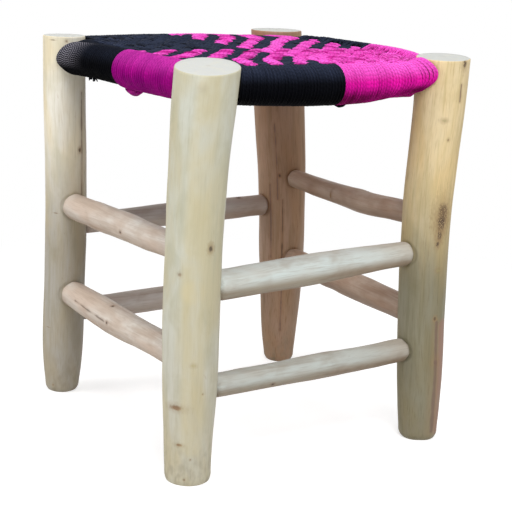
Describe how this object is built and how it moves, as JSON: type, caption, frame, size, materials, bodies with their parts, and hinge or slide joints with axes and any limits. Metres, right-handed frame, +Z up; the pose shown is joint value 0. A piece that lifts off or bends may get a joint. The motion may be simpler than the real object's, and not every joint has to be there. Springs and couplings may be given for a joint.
{
  "type": "woven cord stool",
  "caption": "Low square stool of peeled round posts and hewn rungs, its seat wound from glossy pink and black cord in a diagonal twill, for sitting low.",
  "frame": {"origin": "on the floor, under the middle of the stool's outline", "axes": "+Z up, -Y towards the front, +X to the right seen from the front"},
  "size_m": [0.3814, 0.3916, 0.4496],
  "materials": {
    "peeled_post": "peeled pale wood, bare, satin where hands have rubbed it",
    "hewn_rung": "hewn wood, bare, with soft facets",
    "seat_rail": "bare wood, covered by the cord",
    "black_cord": "glossy twisted synthetic cord, black with a blue-grey sheen",
    "pink_cord": "glossy twisted synthetic cord, magenta pink"
  },
  "bodies": {
    "root": {"leg_front_left": "peeled_post", "leg_front_right": "peeled_post", "leg_back_left": "peeled_post", "leg_back_right": "peeled_post", "rung_front_upper": "hewn_rung", "rung_front_lower": "hewn_rung", "rung_left_upper": "hewn_rung", "rung_left_lower": "hewn_rung", "rung_right_upper": "hewn_rung", "rung_right_lower": "hewn_rung", "rung_back_upper": "hewn_rung", "rung_back_lower": "hewn_rung", "rail_front": "seat_rail", "rail_back": "seat_rail", "rail_left": "seat_rail", "rail_right": "seat_rail", "cord_warp_black": "black_cord", "cord_warp_pink": "pink_cord", "cord_weft_black": "black_cord", "cord_weft_pink": "pink_cord", "knot_left_black": "black_cord", "knot_left_pink": "pink_cord", "knot_front": "black_cord"}
  },
  "joints": []
}
